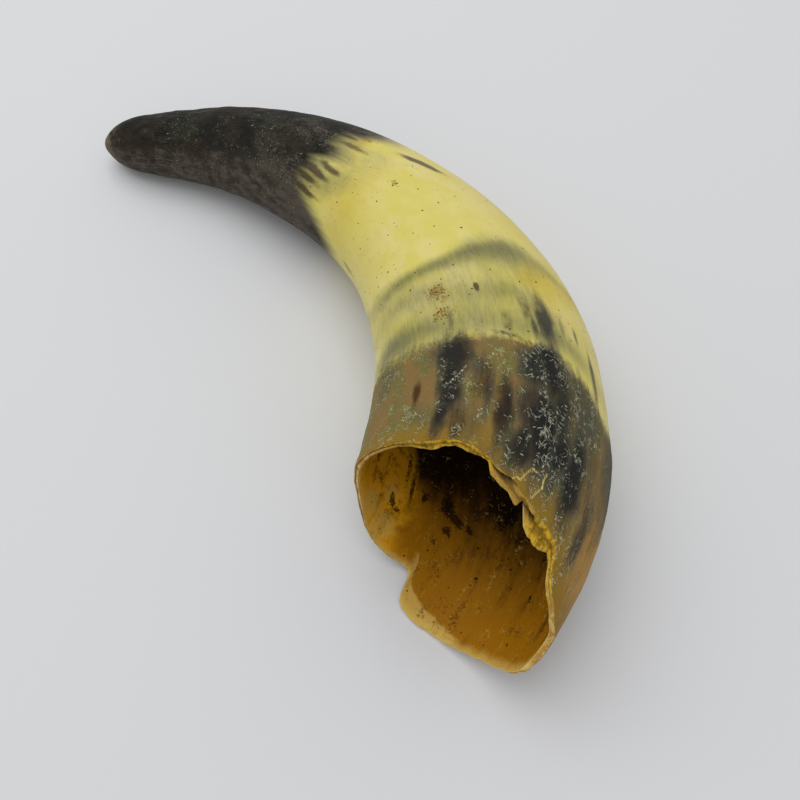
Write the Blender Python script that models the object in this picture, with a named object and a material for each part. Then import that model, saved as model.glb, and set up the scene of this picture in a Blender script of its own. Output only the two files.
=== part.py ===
"""A bull's horn at its real size, lying on its side: one hollow piece of horn, open at the torn base.

The horn is a tapering tube whose line curls in plan from the mouth, at the front, to the blunt tip, at the back left.
Everything is in metres with +Z up. The origin is at the middle of the horn's box, on the surface that it lies on.
"""

import math

import bmesh
import bpy
from mathutils import Vector

MM = 0.001

# Distances along the horn run from the middle of the mouth, where they are 0, to the tip. Each station gives that
# distance in mm, the way the horn heads there, in degrees from +X seen from above, and its half width in mm.
STATIONS = (
    (-20.0, 50.5, 34.2),
    (5.0, 63.0, 35.4),
    (30.0, 80.0, 36.0),
    (60.0, 95.5, 34.3),
    (95.0, 112.0, 30.7),
    (130.0, 128.0, 26.4),
    (165.0, 145.5, 22.8),
    (200.0, 154.0, 18.5),
    (230.0, 170.5, 14.3),
    (250.0, 170.0, 11.4),
)
HEADING, HALF_WIDTH = 1, 2
LINE_START, LINE_END = STATIONS[0][0], STATIONS[-1][0]
MOUTH_X, MOUTH_Y = 43.7, -78.4  # the middle of the mouth, in plan
SECTION_HEIGHT = 0.92  # a section's height over its width: cattle horns are a little flat
TIP_DOME = 16.4  # the rounded end past the last station

# The horn lies on its belly and on its tip. Between them it arches clear, and what touches is worn flat.
WEAR = 0.35
ARCH_START, ARCH_END, ARCH_HEIGHT = 140.0, 222.0, 0.9

# The base was broken off on a slant. Angles run round the section, seen from the mouth: 0 is the outer side of the
# bend, 90 the top, 180 the inner side and 270 the belly. At an angle, this is how far along the horn it is torn off.
TORN_EDGE = (
    (0, -7.6), (10, -5.8), (21, -4.8), (35, -2.0), (40, 0.2), (44, 2.4), (47.5, 6.8), (56, 9.0), (61, 10.0), (66, 11.0),
    (75, 13.2), (85, 15.8), (92, 17.2), (106, 17.2), (113, 15.3), (131, 15.2), (140, 14.8), (148, 14.0), (159, 12.6),
    (170, 10.4), (182, 7.8), (192, 6.2), (200, 4.8), (209, 2.5), (219, 0.5), (228, -2.0), (236, -3.5), (246, -5.2),
    (250.5, -6.4), (255.0, -15.8), (262, -16.8), (272, -17.2), (286, -16.8), (300, -15.6), (314, -14.6), (330, -13.8),
    (343, -13.2), (354, -10.0), (360, -7.6),
)
# The inner layers stand past the outer edge where the outer ones have flaked away.
INNER_LAYERS = (
    (0, 0.0), (43, 0.0), (48, 2.6), (54, 4.7), (61, 4.0), (66, 3.4), (69, 1.7), (75, 3.0), (83, 1.8), (90, 0.5),
    (110, 0.0), (360, 0.0),
)
RAGGED = 0.35  # the size of the small waves in the torn edge

# The wall thickens from the rim inwards until the hollow ends in solid horn.
RIM_WALL = 1.8
HOLLOW_END = 150.0
HOLLOW_BLUNTNESS = 3.0
HOLLOW_ROUNDING = 0.6

# The form is drawn with this many columns round it and rows along it, closest at the mouth.
COLUMNS = 76
FIRST_COLUMN = 3.95
SHAFT_ROWS = 35
DOME_ROWS = 5
INNER_ROWS = 18
ROWS_CROWD_THE_MOUTH = 1.3

SHARP_ANGLE = math.radians(40)
HORN_COLOUR = (0.62, 0.52, 0.22, 1.0)
HORN_ROUGHNESS = 0.42


def through(points, x):
    """The value at x of a smooth curve through (place, value) points, level with its last piece past either end."""
    places = [p[0] for p in points]
    values = [p[1] for p in points]
    slopes = [(values[i + 1] - values[i]) / (places[i + 1] - places[i]) for i in range(len(points) - 1)]
    gaps = [places[i + 1] - places[i] for i in range(len(points) - 1)]
    i = max(0, min(len(gaps) - 1, sum(place < x for place in places) - 1))

    def slope_at(k):
        if k == 0 or k == len(gaps):
            return slopes[min(k, len(gaps) - 1)]
        return (slopes[k - 1] * gaps[k] + slopes[k] * gaps[k - 1]) / (gaps[k - 1] + gaps[k])

    t = (x - places[i]) / gaps[i]
    if t < 0 or t > 1:
        end = i + (t > 1)
        return values[end] + slopes[i] * (x - places[end])
    rise = 3 * t * t - 2 * t**3
    bend_in = t**3 - 2 * t * t + t
    bend_out = t**3 - t * t
    return (
        values[i] * (1 - rise)
        + values[i + 1] * rise
        + gaps[i] * (slope_at(i) * bend_in + slope_at(i + 1) * bend_out)
    )


def straight_through(points, x):
    """The value at x of straight runs through (place, value) points, for an edge with corners."""
    for (x0, y0), (x1, y1) in zip(points, points[1:]):
        if x <= x1:
            return y0 + (y1 - y0) * (x - x0) / (x1 - x0)
    return points[-1][1]


def column_of(stations, which):
    """(distance, value) points of one quantity of the stations."""
    return [(row[0], row[which]) for row in stations]


def heading_at(along):
    """The unit vector in plan that the horn heads in."""
    angle = math.radians(through(column_of(STATIONS, HEADING), along))
    return Vector((math.cos(angle), math.sin(angle), 0))


def walk_line(step=1.0):
    """The horn's line in plan, a point every step from the first station to the last, worked out from its headings."""
    count = round((LINE_END - LINE_START) / step)
    points = [Vector((0, 0, 0))]
    for i in range(count):
        points.append(points[-1] + heading_at(LINE_START + (i + 0.5) * step) * step)
    mouth = points[round(-LINE_START / step)]
    return [p - mouth + Vector((MOUTH_X, MOUTH_Y, 0)) for p in points]


LINE = walk_line()


def half_width_at(along):
    """Half the width of the section there, rounded off over the tip's dome."""
    width = through(column_of(STATIONS, HALF_WIDTH), along)
    past = max(0.0, along - LINE_END) / TIP_DOME
    return width * math.sqrt(max(0.0, 1 - past * past))


def arch_at(along):
    """How far the belly is off the ground there."""
    if not ARCH_START < along < ARCH_END:
        return 0.0
    return ARCH_HEIGHT * math.sin(math.pi * (along - ARCH_START) / (ARCH_END - ARCH_START)) ** 2


def line_at(along):
    """The middle of the section there, in mm."""
    place = min(max(along - LINE_START, 0.0), len(LINE) - 1.001)
    i = int(place)
    plan = LINE[i].lerp(LINE[i + 1], place - i)
    overrun = along - min(max(along, LINE_START), LINE_END)
    plan = plan + heading_at(min(along, LINE_END)) * overrun
    base = through(column_of(STATIONS, HALF_WIDTH), along)
    return plan + Vector((0, 0, base * SECTION_HEIGHT - WEAR + arch_at(along)))


def skin_point(along, around, half_width):
    """A point of the section there, at an angle round it, in mm. The belly is worn flat where it would sink."""
    ahead = (line_at(along + 1) - line_at(along - 1)).normalized()
    side = ahead.cross(Vector((0, 0, 1))).normalized()
    rise = side.cross(ahead)
    angle = math.radians(around)
    point = line_at(along) + half_width * (
        math.cos(angle) * side + SECTION_HEIGHT * math.sin(angle) * rise
    )
    point.z = max(point.z, 0.0)
    return point


def torn_edge(around, inner):
    """How far along the horn its edge is at an angle, at the outer skin or at the inner one. Less is further out."""
    waves = sum(math.sin(math.radians(around * n) + n) for n in (11, 17, 29)) / 3
    edge = straight_through(TORN_EDGE, around) + RAGGED * waves
    if inner:
        edge -= straight_through(INNER_LAYERS, around)
    return edge


def hollow_half_width(along):
    """Half the width of the hollow there: a thin wall at the rim, none left where the hollow ends."""
    depth = min(max(along / HOLLOW_END, 0.0), 1.0)
    taper = (1 - depth**HOLLOW_BLUNTNESS) ** HOLLOW_ROUNDING
    return (half_width_at(along) - RIM_WALL) * taper


def shaft_row(share):
    """The points of a row of the outer skin: share 0 is the torn edge and 1 the foot of the tip's dome."""
    row = []
    for around in column_angles():
        start = torn_edge(around, inner=False)
        along = start + (LINE_END - start) * share**ROWS_CROWD_THE_MOUTH
        row.append(skin_point(along, around, half_width_at(along)) * MM)
    return row


def dome_row(share):
    """The points of a row of the tip's dome: share 0 is its foot and 1 its end."""
    along = LINE_END + TIP_DOME * math.sin(share * math.pi / 2)
    return [skin_point(along, around, half_width_at(along)) * MM for around in column_angles()]


def inner_row(share):
    """The points of a row of the hollow's skin: share 0 is the torn edge and 1 the last row before its end."""
    end = HOLLOW_END * 0.997
    row = []
    for around in column_angles():
        start = torn_edge(around, inner=True)
        along = start + (end - start) * share
        half_width = hollow_half_width(along)
        point = skin_point(along, around, half_width)
        row.append(point * MM)
    return row


def column_angles():
    """The columns' angles. Two of them stand at the foot and at the corner of the step in the torn edge."""
    return [(FIRST_COLUMN + 360 / COLUMNS * i) % 360 for i in range(COLUMNS)]


def add_row(bm, edges, points):
    """Extrudes a ring of edges into the next row, and returns that row's edges."""
    made = bmesh.ops.extrude_edge_only(bm, edges=edges)["geom"]
    ring = [item for item in made if isinstance(item, bmesh.types.BMEdge) and item.is_boundary]
    corners = {corner for edge in ring for corner in edge.verts}
    for corner in corners:
        corner.co = points[corner[bm.verts.layers.int["column"]]]
    return ring


def close_end(bm, edges):
    """Draws the last ring together into one point, the middle of it."""
    corners = list({corner for edge in edges for corner in edge.verts})
    middle = sum((corner.co for corner in corners), Vector()) / len(corners)
    bmesh.ops.pointmerge(bm, verts=corners, merge_co=middle)


def horn_mesh():
    """The whole horn as one closed skin: in from the hollow's edge to the tip outside, and to its end inside."""
    bm = bmesh.new()
    column = bm.verts.layers.int.new("column")
    ring = bmesh.ops.create_circle(bm, segments=COLUMNS, radius=1.0)["verts"]
    for i, corner in enumerate(ring):
        corner[column] = i
    outer_edge = shaft_row(0)
    for corner in ring:
        corner.co = outer_edge[corner[column]]
    start = list(bm.edges)
    edges = start
    for i in range(1, SHAFT_ROWS + 1):
        edges = add_row(bm, edges, shaft_row(i / SHAFT_ROWS))
    for i in range(1, DOME_ROWS + 1):
        edges = add_row(bm, edges, dome_row(i / (DOME_ROWS + 1)))
    edges = add_row(bm, edges, dome_row(1))
    close_end(bm, edges)
    edges = start
    for i in range(INNER_ROWS + 1):
        edges = add_row(bm, edges, inner_row(i / INNER_ROWS))
    close_end(bm, edges)
    bmesh.ops.recalc_face_normals(bm, faces=bm.faces)
    mesh = bpy.data.meshes.new("horn")
    bm.to_mesh(mesh)
    bm.free()
    mesh.shade_smooth()
    mesh.set_sharp_from_angle(angle=SHARP_ANGLE)
    return mesh


def horn_material():
    """Polished horn, the yellow of its middle."""
    material = bpy.data.materials.new("horn")
    material.use_nodes = True
    surface = material.node_tree.nodes["Principled BSDF"]
    surface.inputs["Base Color"].default_value = HORN_COLOUR
    surface.inputs["Roughness"].default_value = HORN_ROUGHNESS
    surface.inputs["Metallic"].default_value = 0.0
    return material


def main():
    for obj in list(bpy.data.objects):
        bpy.data.objects.remove(obj)
    horn = bpy.data.objects.new("horn", horn_mesh())
    horn.data.materials.append(horn_material())
    bpy.context.scene.collection.objects.link(horn)


main()
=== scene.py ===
"""A bull's horn that lies on a pale table: charcoal tip, polished yellow middle and a rough, torn open base.

The horn is one sheath. It is drawn as a straight tube, a ring at a time, and then laid along the horn's own
curve, where it gets its relief. Its stains, bands and zones are worked out along and around the horn and kept
on the mesh, and its material reads them there. Lengths are in millimetres until a mesh or a light is made,
and then in metres.
"""

import logging
import math
from collections.abc import Sequence
from dataclasses import dataclass, field
from enum import Enum

import bmesh
import bpy
import numpy as np
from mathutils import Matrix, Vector, noise


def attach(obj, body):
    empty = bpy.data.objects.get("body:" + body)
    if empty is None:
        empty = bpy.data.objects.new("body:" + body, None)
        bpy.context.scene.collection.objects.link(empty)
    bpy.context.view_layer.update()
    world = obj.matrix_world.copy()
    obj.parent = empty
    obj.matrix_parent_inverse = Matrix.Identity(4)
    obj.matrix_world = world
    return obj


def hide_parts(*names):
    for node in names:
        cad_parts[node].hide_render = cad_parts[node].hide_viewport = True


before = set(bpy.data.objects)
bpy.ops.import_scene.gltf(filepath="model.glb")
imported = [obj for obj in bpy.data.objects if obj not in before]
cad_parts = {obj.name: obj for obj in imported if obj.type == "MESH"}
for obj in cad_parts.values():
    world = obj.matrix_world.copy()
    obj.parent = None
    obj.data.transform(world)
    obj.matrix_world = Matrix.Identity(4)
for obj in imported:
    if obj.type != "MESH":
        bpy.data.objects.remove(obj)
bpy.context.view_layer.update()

MM = 0.001
# Each finer layer of noise is weaker and smaller than the one before.
FADING = 0.8
FINENESS = 2.1
LOG = logging.getLogger("horn")
Array = np.ndarray
Points = Sequence[tuple[float, ...]]


def linear(code: str) -> tuple[float, float, float, float]:
    """Turns an sRGB colour into the linear one that shaders take.

    Args:
        code: The colour as six hex digits.

    Returns:
        Red, green, blue and an alpha of 1.
    """
    shares = [int(code[i : i + 2], 16) / 255 for i in (0, 2, 4)]
    red, green, blue = [s / 12.92 if s <= 0.04045 else ((s + 0.055) / 1.055) ** 2.4 for s in shares]
    return red, green, blue, 1.0


def smooth_through(points: Points, x: Array, which: int = 1) -> Array:
    """Reads a smooth curve that passes through points, and runs on straight past either end.

    Args:
        points: Rows that start with a place and go on with values.
        x: The places to read.
        which: Which value of each row the curve passes through.

    Returns:
        The curve's value at each place.
    """
    places = np.array([row[0] for row in points], float)
    values = np.array([row[which] for row in points], float)
    gaps, slopes = np.diff(places), np.diff(values) / np.diff(places)
    inner_turns = (slopes[:-1] * gaps[1:] + slopes[1:] * gaps[:-1]) / (gaps[1:] + gaps[:-1])
    turns = np.concatenate(([slopes[0]], inner_turns, [slopes[-1]]))
    i = np.clip(np.searchsorted(places, x) - 1, 0, len(gaps) - 1)
    t = (x - places[i]) / gaps[i]
    rise = 3 * t**2 - 2 * t**3
    bends = gaps[i] * (turns[i] * (t**3 - 2 * t**2 + t) + turns[i + 1] * (t**3 - t**2))
    curve = values[i] * (1 - rise) + values[i + 1] * rise + bends
    curve = np.where(t > 1, values[i + 1] + slopes[i] * (x - places[i + 1]), curve)
    return np.where(t < 0, values[i] + slopes[i] * (x - places[i]), curve)


def straight_through(points: Points, x: Array, which: int = 1) -> Array:
    """Reads straight runs between points that go once round the horn.

    Args:
        points: Rows that start with an angle from 0 to 360 and go on with values.
        x: Angles in degrees.
        which: Which value of each row is read.

    Returns:
        The value at each angle.
    """
    return np.interp(x % 360, [row[0] for row in points], [row[which] for row in points])


def ramp(x: Array, start: float, end: float) -> Array:
    """Eases from 0 at start to 1 at end."""
    t = np.clip((x - start) / (end - start), 0, 1)
    return t * t * (3 - 2 * t)


def roughly(points: Array, period: float, octaves: int = 3, stretch: float = 1.0) -> Array:
    """Reads layered noise at points.

    Args:
        points: Places in mm, a row each, the third number along the horn.
        period: The size of its largest features, in mm.
        octaves: How many finer layers it has.
        stretch: How many times longer than wide its features are along the horn.

    Returns:
        Values about 0, mostly between -1 and 1.
    """
    scaled = points / (period, period, period * stretch)
    return np.array([noise.fractal(Vector(p), FADING, FINENESS, octaves) for p in scaled.tolist()])


def turn_from(around: Array, angle: float) -> Array:
    """The shorter way round the horn from an angle, in degrees from -180 to 180."""
    return (around - angle + 180) % 360 - 180


class Stain(Enum):
    """What a mark in the horn is, and which number of the mesh's stains keeps it."""

    SLATE = 0
    BROWN = 1
    MOSS = 2
    RUST = 3


@dataclass(frozen=True)
class Blotch:
    """One long soft mark that follows the horn's fibres.

    Its place is its middle, its reach is half its size, and it leans by tilt degrees from the fibres.
    """

    along: float
    around: float
    reach: float
    half_width: float
    strength: float = 1.0
    tilt: float = 0.0

    def cover(self, along: Array, around: Array, radius: Array, sway: Array) -> Array:
        """Works out how much of the blotch each place has.

        Args:
            along: Distances along the horn.
            around: Angles round it, in degrees.
            radius: Half the horn's width at each place.
            sway: How far sideways each place is moved first, so that edges wander.

        Returns:
            1 in the middle, about a half at its edge, and 0 well outside.
        """
        turn = turn_from(around, self.around)
        sway = sway * min(1.0, self.half_width / 3)
        across, ahead = np.radians(turn) * radius + sway, along - self.along + 2 * sway
        c, s = math.cos(math.radians(self.tilt)), math.sin(math.radians(self.tilt))
        spread = np.hypot((across * c + ahead * s) / self.half_width, (ahead * c - across * s) / self.reach)
        return self.strength * np.clip(1.6 - spread, 0, 1.2) / 1.2


# Each row is a blotch: its place along and around, its reach, half its width, its strength and its tilt.
OUTSIDE_BLOTCHES: dict[Stain, tuple[tuple[float, ...], ...]] = {
    Stain.SLATE: (
        (46, 109.5, 7.5, 5.0), (35, 110.5, 10, 3.4), (26, 112.5, 6, 2.2, 0.9), (60, 110, 6, 0.9, 0.6),
        (57.5, 64.5, 7.5, 2.9, 1.0, 4), (55, 71, 4, 1.2, 0.7), (43, 65.0, 10, 2.9), (42, 73, 6, 5.0, 0.7),
        (31, 76, 8, 4.0, 0.7), (27, 70, 9, 4.6), (34, 61, 11, 2.6, 0.75), (23, 60, 6, 3.2, 0.85),
        (22, 77, 6, 4, 0.85), (20, 50, 9, 3.6), (12, 36, 7, 3.2, 0.65), (41, 98.5, 4, 2.0, 0.5, 16),
        (34, 94, 6, 1.5, 0.55), (29, 86, 8, 2.0, 0.7), (30, 15, 12, 3, 0.6), (8, 345, 12, 2.5, 0.5),
        (30, 322, 14, 4), (40, 288, 10, 3), (26, 240, 12, 3.5), (36, 212, 9, 2.6),
    ),
    Stain.BROWN: (
        (24, 105, 6, 2.6, 0.5), (20, 114, 4, 3.0, 0.35), (60, 73, 4, 2.0, 0.65), (56, 84, 4, 1.6, 0.45),
        (33.5, 126.5, 5, 1.3, 0.8), (36, 97, 7, 2.4, 0.55, 14), (29, 87, 9, 2.4, 0.75),
        (46, 36.5, 7, 1.3, 0.8), (57, 54, 4, 1.0, 0.6), (55.5, 45, 3, 0.9, 0.6),
        (51.2, 85, 0.9, 4.2, 0.75, 8), (50.0, 76, 0.8, 3.0, 0.65, 8), (162, 141, 8, 1.2, 0.85, 8),
        (163, 130, 7, 1.2, 0.9, 6), (161, 121.5, 8, 1.5, 1.0, 8), (155, 114.5, 6, 1.3, 0.85, 10),
        (154, 87, 9, 1.1, 0.55), (161, 77, 8, 1.2, 0.7), (159, 69, 7, 2.2, 0.8),
        (131, 63.5, 8, 1.6, 1.0, -16), (124, 176, 6, 1.0, 0.6), (146, 20, 9, 1.6), (140, 330, 12, 2.0),
        (150, 300, 9, 1.4), (144, 245, 10, 1.6), (52, 340, 6, 1.6), (52, 262, 7, 2.0),
        (69.5, 94, 1.6, 0.8, 1.1),
    ),
    Stain.MOSS: (
        (38, 48, 12, 10, 0.9), (26, 62, 12, 9, 0.9), (43, 73, 7, 5.0), (24, 42, 8, 6, 0.7),
        (18, 84, 5, 6, 0.55), (24, 101, 6, 5, 0.6), (30, 20, 16, 8, 0.9), (48, 118, 6, 7, 0.4),
        (45, 150, 8, 7, 0.5), (26, 121, 5, 6, 0.45), (38, 10, 8, 7, 0.8), (34, 310, 9, 8, 0.8),
        (40, 225, 8, 7, 0.7),
    ),
    Stain.RUST: (
        (71.5, 113.5, 3.4, 3.4, 0.72), (62.5, 114, 2.4, 4.6, 0.75), (80, 101, 1.0, 0.6, 0.9),
        (163, 84, 1.2, 1.4, 0.8), (152, 72, 3.0, 1.6, 0.5), (127, 96, 1.8, 1.6, 0.75), (12, 22, 7, 3, 0.5),
    ),
}
INSIDE_BLOTCHES: dict[Stain, tuple[tuple[float, ...], ...]] = {
    Stain.BROWN: (
        (14.5, 223, 2.4, 1.2, 1.1, 24), (17.5, 221, 1.0, 1.0, 1.0), (12.2, 228, 1.0, 1.0, 1.0),
        (23.5, 242, 2.0, 1.0, 1.1, -20), (22, 256, 4.5, 2.4, 1.0, 30), (18.5, 263, 3.2, 2.0, 1.0, 40),
        (17.5, 271, 1.6, 1.4, 0.9), (13.5, 259, 2.2, 1.6, 1.0, 20), (9, 254, 1.8, 1.0, 0.7),
        (27, 288, 7, 6.0, 0.75), (20, 300, 5, 3.0, 0.5), (29.5, 200, 3, 0.8, 1.0), (26, 233, 12, 0.9, 0.8),
        (33, 228, 9, 0.8, 0.8), (31, 211, 7, 0.6, 0.7), (3, 318, 1.0, 0.8), (3, 284, 1.0, 0.8, 0.8),
        (9, 300, 1.2, 1.0, 0.7),
    ),
    Stain.MOSS: (
        (7, 207, 5.5, 6.0, 1.1, -12), (2, 222, 6.5, 4.6, 1.1, -20), (18, 219, 6, 3.4, 0.7),
    ),
}


def beside(points: Points, x: Array, y: Array) -> Array:
    """Measures how far places are from a line through points.

    Args:
        points: The line's corners.
        x: The places' first numbers.
        y: Their second numbers.

    Returns:
        The distance from the nearest part of the line.
    """
    nearest = np.full(len(x), np.inf)
    for (x0, y0), (x1, y1) in zip(points, points[1:]):
        dx, dy = x1 - x0, y1 - y0
        share = np.clip(((x - x0) * dx + (y - y0) * dy) / (dx * dx + dy * dy), 0, 1)
        nearest = np.minimum(nearest, np.hypot(x - x0 - share * dx, y - y0 - share * dy))
    return nearest


@dataclass(frozen=True)
class HornLine:
    """The horn's curve and width, as they are in the frame."""

    stations: Points = (
        (-20.0, 50.5, 34.2), (5.0, 63.0, 35.4), (30.0, 80.0, 36.0), (60.0, 95.5, 34.3),
        (95.0, 112.0, 30.7), (130.0, 128.0, 26.4), (165.0, 145.5, 22.8), (200.0, 154.0, 18.5),
        (230.0, 170.5, 14.3), (250.0, 170.0, 11.4),
    )
    mouth: tuple[float, float] = (43.7, -78.4)
    flatness: float = 0.92
    dome: float = 16.4
    wear: float = 0.35
    arch: tuple[float, float, float] = (140.0, 222.0, 0.9)

    @property
    def start(self) -> float:
        """The first station's distance along the horn."""
        return self.stations[0][0]

    @property
    def end(self) -> float:
        """The last station's distance, where the tip's dome starts."""
        return self.stations[-1][0]

    def width(self, along: Array) -> Array:
        """Half the width that the stations give, not rounded off at the tip."""
        return smooth_through(self.stations, along, 2)

    def half_width(self, along: Array) -> Array:
        """Half the width of the skin, rounded off over the tip's dome."""
        past = np.clip((along - self.end) / self.dome, 0, 1)
        return self.width(along) * np.sqrt(1 - past**2)

    def middle(self, along: Array) -> Array:
        """Walks the horn's line.

        Args:
            along: Distances along the horn.

        Returns:
            The section's middle at each, a row each.
        """
        steps = np.arange(self.start, self.end + 0.5)
        turn = np.radians(smooth_through(self.stations, steps[:-1] + 0.5))
        walk = np.vstack(([0, 0], np.cumsum(np.column_stack((np.cos(turn), np.sin(turn))), 0)))
        walk += np.array(self.mouth) - walk[round(-self.start)]
        inner = np.clip(along, self.start, self.end)
        heading = np.radians(smooth_through(self.stations, inner))
        over = along - inner
        x = np.interp(inner, steps, walk[:, 0]) + over * np.cos(heading)
        y = np.interp(inner, steps, walk[:, 1]) + over * np.sin(heading)
        first, last, height = self.arch
        wave = height * np.sin(np.pi * (along - first) / (last - first)) ** 2
        lift = np.where((along > first) & (along < last), wave, 0)
        return np.column_stack((x, y, self.width(along) * self.flatness - self.wear + lift))

    def skin(self, along: Array, around: Array, half_width: Array) -> Array:
        """Places points on the horn's sections.

        Args:
            along: Distances along the horn.
            around: Angles round it: 0 is the outer side of the bend, 90 the top and 270 the belly.
            half_width: How far out from the middle each point is, at the sides.

        Returns:
            Each point in mm. Those that would sink into the table are worn off level with it.
        """
        ahead = self.middle(along + 1) - self.middle(along - 1)
        ahead /= np.linalg.norm(ahead, axis=1)[:, None]
        side = np.cross(ahead, (0, 0, 1))
        side /= np.linalg.norm(side, axis=1)[:, None]
        angle = np.radians(around)
        out = np.cos(angle)[:, None] * side + self.flatness * np.sin(angle)[:, None] * np.cross(side, ahead)
        points = self.middle(along) + half_width[:, None] * out
        points[:, 2] = np.maximum(points[:, 2], 0)
        return points


@dataclass(frozen=True)
class TornEdge:
    """Where the base broke off, at each angle round the horn, and the layers that split there.

    A crack's line runs by angle and by how far through the wall it is, and a hairline's by angle and distance
    along.
    """

    outer: Points = (
        (0, -7.6), (10, -5.8), (21, -4.8), (35, -2.0), (40, 0.2), (44, 3.0), (47.5, 6.8), (54, 9.0),
        (62, 10.2), (68, 11.4), (74, 12.8), (80, 14.8), (86, 16.2), (92, 17.6), (96, 18.9), (100, 19.3),
        (104, 19.3), (112, 18.6), (119, 17.2), (128, 16.3), (135, 15.5), (142, 14.6), (148, 14.0),
        (159, 12.6), (170, 10.4), (182, 7.8), (190, 6.0), (200, 3.0), (209, -0.2), (219, -3.2),
        (226, -4.5), (234, -4.9), (243, -4.6), (248.5, -4.3), (250.5, -5.0), (251.6, -7.0), (252.1, -9.8),
        (252.8, -12.4), (254.5, -14.8), (258, -16.3), (264, -16.9), (273, -16.9), (280, -16.5),
        (287, -16.1), (302, -15.1), (325, -14.5), (338, -14.2), (346, -13.4), (354, -10.2), (360, -7.6),
    )
    layers: Points = (
        (0, 0.3), (40, 0.3), (44, 0.4), (46, 1.8), (50, 3.6), (55, 4.8), (60, 4.9), (64, 4.1), (67, 2.3),
        (69, 1.0), (70.5, 2.6), (72, 3.0), (76, 2.3), (80, 2.9), (83, 2.6), (86, 2.2), (88, 0.4),
        (92, 0.3), (96, 1.8), (100, 1.5), (104, 1.1), (108, 1.3), (112, 2.1), (115, 2.1), (119, 1.4),
        (126, 0.5), (132, 0.2), (180, 0.2), (245, 0.6), (260, 1.0), (300, 1.1), (330, 0.8), (360, 0.3),
    )
    cracks: tuple[Points, ...] = (
        ((87, 0.5), (82, 0.36), (75, 0.16)),
        ((69.5, 0.98), (67, 0.7), (62.5, 0.34)),
    )
    hairlines: tuple[Points, ...] = (
        ((77, 13.8), (75.5, 14.8), (73.5, 14.5), (72, 16.5), (70, 18), (68, 17.5)),
        ((67, 12.0), (65.5, 13.6), (64, 15), (64.5, 16.5), (63.5, 18)),
        ((152, 20), (147, 24), (141, 31)),
        ((111, 36), (107.5, 38.5), (104, 41.5)),
        ((87, 163.8), (80, 163.2), (75, 163.3), (68, 162.2), (62, 161.6)),
        ((150, 252), (153, 249.5), (156, 246), (158, 241.5), (157.5, 237), (158.5, 232), (157, 229)),
        ((46, 61), (43, 62.8), (39.5, 63), (37, 61)),
    )
    ragged: float = 0.45
    steps: int = 3
    step_width: float = 0.45
    radius: float = 35.0
    crack_depth: float = 1.5
    crack_width: float = 0.9
    rounded: float = 0.25

    def skin(self, around: Array) -> Array:
        """The outer skin's edge at each angle, as a distance along the horn."""
        return straight_through(self.outer, around) + self.ragged * self.waves(around, 6, 0.0)

    def waves(self, around: Array, period: float, seed: float) -> Array:
        """Noise that goes once round the horn without a seam.

        Args:
            around: Angles round the horn.
            period: The size of its largest waves in mm.
            seed: Which waves of many.

        Returns:
            Values about 0.
        """
        angle = np.radians(around)
        ring = np.column_stack((np.cos(angle), np.sin(angle), np.full(len(angle), seed)))
        return roughly(ring * self.radius, period, 4)

    def fray(self, around: Array, layer: int) -> Array:
        """How ragged one layer's edge is at each angle, with fine hairs on long waves."""
        return self.waves(around, 6.0, 1.0 + layer) + 0.12 * self.waves(around, 1.1, 9.0 + layer)

    def break_at(self, around: Array, through: Array) -> Array:
        """Finds the broken face between the outer skin's edge and the lining's, torn in steps.

        Args:
            around: Angles round the horn.
            through: How far through the wall each place is, from 0 to 1.

        Returns:
            Distances along the horn.
        """
        flaked = straight_through(self.layers, around)
        stepped = through * self.steps
        layer = np.minimum(np.floor(stepped), self.steps - 1)
        climb = ramp(stepped - layer, 0.0, self.step_width)
        frays = np.stack([self.fray(around, i) for i in range(self.steps + 1)])
        column = np.arange(len(around))
        low = frays[layer.astype(int), column]
        fray = low + (frays[layer.astype(int) + 1, column] - low) * climb
        fray *= (0.25 + 0.12 * flaked) * np.minimum(through * 6, 1)
        rounding = self.rounded * np.sin(np.pi * through)
        broken = self.skin(around) - flaked * (layer + climb) / self.steps - fray - rounding
        for line in self.crack_lines():
            near = beside(line, around, through * 6) / self.crack_width
            broken += self.crack_depth * np.exp(-(near**2))
        return broken

    def crack_lines(self) -> list[Points]:
        """The cracks with their second number stretched to be about as fine as the angle."""
        return [tuple((angle, 6 * through) for angle, through in line) for line in self.cracks]

    def lining(self, around: Array) -> Array:
        """The inner skin's edge at each angle."""
        return self.break_at(around, np.ones(len(around)))


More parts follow.
